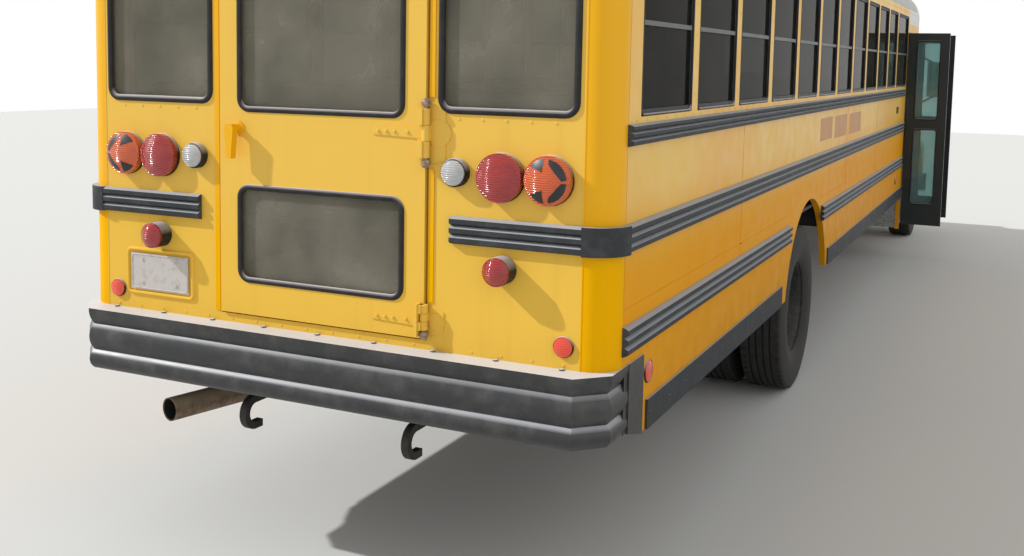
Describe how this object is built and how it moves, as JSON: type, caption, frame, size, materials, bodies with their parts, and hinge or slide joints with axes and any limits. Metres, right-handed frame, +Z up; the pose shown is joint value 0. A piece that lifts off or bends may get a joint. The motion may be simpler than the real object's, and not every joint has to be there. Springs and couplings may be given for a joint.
{
  "type": "conventional school bus",
  "caption": "Long yellow school bus with a tilting front hood, white roof, ribbed rub rails and rear bumper, outward entrance leaves and a rear emergency door.",
  "frame": {"origin": "on the ground at the middle of the whole bus's footprint box", "axes": "+X to the driver's side, +Y to the rear, +Z up"},
  "size_m": [3.106, 12.15, 3.045],
  "materials": {
    "yellow_paint": "glossy school-bus yellow enamel, faded on the sides",
    "white_paint": "white roof enamel",
    "black_paint": "black enamel on rails and bumpers, scuffed",
    "door_paint": "dark green-black door frame paint",
    "chassis_paint": "chassis black with road dirt",
    "rusty_steel": "rusty brown exhaust steel",
    "sash_metal": "dull aluminium sash",
    "galvanised": "galvanised floor and fittings",
    "clear_glass": "dusty safety glass",
    "seat_vinyl": "grey-blue bench vinyl",
    "interior_plastic": "dark moulded plastic",
    "tyre_rubber": "worn black tyre rubber",
    "wheel_paint": "dark wheel paint, dusty",
    "red_lens": "red lamp lens",
    "amber_lens": "amber lamp lens",
    "clear_lens": "clear ribbed lamp lens",
    "sign_red": "red reflective sheet, blank",
    "plate_white": "white plate, blank",
    "mirror_black": "mirror shells",
    "tank_steel": "black tank steel"
  },
  "bodies": {
    "coach": {"chassis_frame": "chassis_paint", "floor_deck": "galvanised", "side_wall_left": "yellow_paint", "side_wall_right": "yellow_paint", "rear_wall": "yellow_paint", "front_wall": "yellow_paint", "roof_shell": "white_paint", "stepwell": "galvanised", "rub_rails": "black_paint", "rear_bumper": "black_paint", "front_bumper": "black_paint", "window_sashes": "sash_metal", "body_glass": "clear_glass", "windshield_glass": "clear_glass", "seats": "seat_vinyl", "seat_frames": "galvanised", "driver_seat": "seat_vinyl", "dashboard": "interior_plastic", "steering_wheel": "interior_plastic", "exit_hinge_brackets": "galvanised", "licence_plate": "plate_white", "engine_block": "chassis_paint", "radiator": "chassis_paint", "driveshaft": "chassis_paint", "fuel_tank": "tank_steel", "rear_axle": "chassis_paint", "front_axle": "chassis_paint", "leaf_springs": "chassis_paint", "exhaust": "rusty_steel", "door_mirrors": "mirror_black", "stop_arm_base": "black_paint", "red_lamps": "red_lens", "amber_lamps": "amber_lens", "clear_lamps": "clear_lens"},
    "emergency_exit": {"emergency_door": "yellow_paint", "emergency_door_glass": "clear_glass", "emergency_door_fittings": "yellow_paint"},
    "entrance_rear": {"entrance_leaf_rear": "door_paint", "entrance_glass_rear": "clear_glass"},
    "entrance_front": {"entrance_leaf_front": "door_paint", "entrance_glass_front": "clear_glass"},
    "hood": {"hood_shell": "yellow_paint", "grille": "black_paint", "headlamps": "clear_lens"},
    "stop_sign": {"stop_arm": "sign_red"},
    "knuckle_left": {"steering_knuckle_left": "chassis_paint"},
    "knuckle_right": {"steering_knuckle_right": "chassis_paint"},
    "front_wheel_left": {"front_tyre_left": "tyre_rubber", "front_rim_left": "wheel_paint"},
    "front_wheel_right": {"front_tyre_right": "tyre_rubber", "front_rim_right": "wheel_paint"},
    "rear_wheels_left": {"rear_tyres_left": "tyre_rubber", "rear_rims_left": "wheel_paint"},
    "rear_wheels_right": {"rear_tyres_right": "tyre_rubber", "rear_rims_right": "wheel_paint"}
  },
  "joints": [
    {"name": "emergency_door_hinge", "type": "hinge", "parent": "coach", "child": "emergency_exit", "pos_m": [-0.475, 5.999, 1.75], "axis": [0, 0, 1], "range_deg": [0, 100]},
    {"name": "entrance_rear_hinge", "type": "hinge", "parent": "coach", "child": "entrance_rear", "pos_m": [-1.2, -2.985, 1.4], "axis": [0, 0, 1], "range_deg": [0, 90]},
    {"name": "entrance_front_hinge", "type": "hinge", "parent": "coach", "child": "entrance_front", "pos_m": [-1.2, -3.811, 1.4], "axis": [0, 0, 1], "range_deg": [-90, 0]},
    {"name": "hood_tilt", "type": "hinge", "parent": "coach", "child": "hood", "pos_m": [0, -5.875, 0.76], "axis": [1, 0, 0], "range_deg": [0, 60]},
    {"name": "stop_sign_swing", "type": "hinge", "parent": "coach", "child": "stop_sign", "pos_m": [1.237, -3.035, 1.64], "axis": [0, 0, -1], "range_deg": [0, 90]},
    {"name": "steer_left", "type": "hinge", "parent": "coach", "child": "knuckle_left", "pos_m": [0.85, -5.175, 0.525], "axis": [0, 0, 1], "range_deg": [-35, 35]},
    {"name": "steer_right", "type": "hinge", "parent": "coach", "child": "knuckle_right", "pos_m": [-0.85, -5.175, 0.525], "axis": [0, 0, 1], "range_deg": [-35, 35]},
    {"name": "front_wheel_left_spin", "type": "hinge", "parent": "knuckle_left", "child": "front_wheel_left", "pos_m": [1.005, -5.175, 0.525], "axis": [1, 0, 0], "continuous": true},
    {"name": "front_wheel_right_spin", "type": "hinge", "parent": "knuckle_right", "child": "front_wheel_right", "pos_m": [-1.005, -5.175, 0.525], "axis": [1, 0, 0], "continuous": true},
    {"name": "rear_wheels_left_spin", "type": "hinge", "parent": "coach", "child": "rear_wheels_left", "pos_m": [0.8425, 2.285, 0.525], "axis": [1, 0, 0], "continuous": true},
    {"name": "rear_wheels_right_spin", "type": "hinge", "parent": "coach", "child": "rear_wheels_right", "pos_m": [-0.8425, 2.285, 0.525], "axis": [1, 0, 0], "continuous": true}
  ],
  "couplings": [
    {"joint": "entrance_front_hinge", "follows": "entrance_rear_hinge", "ratio": -1},
    {"joint": "steer_right", "follows": "steer_left", "ratio": 1}
  ]
}
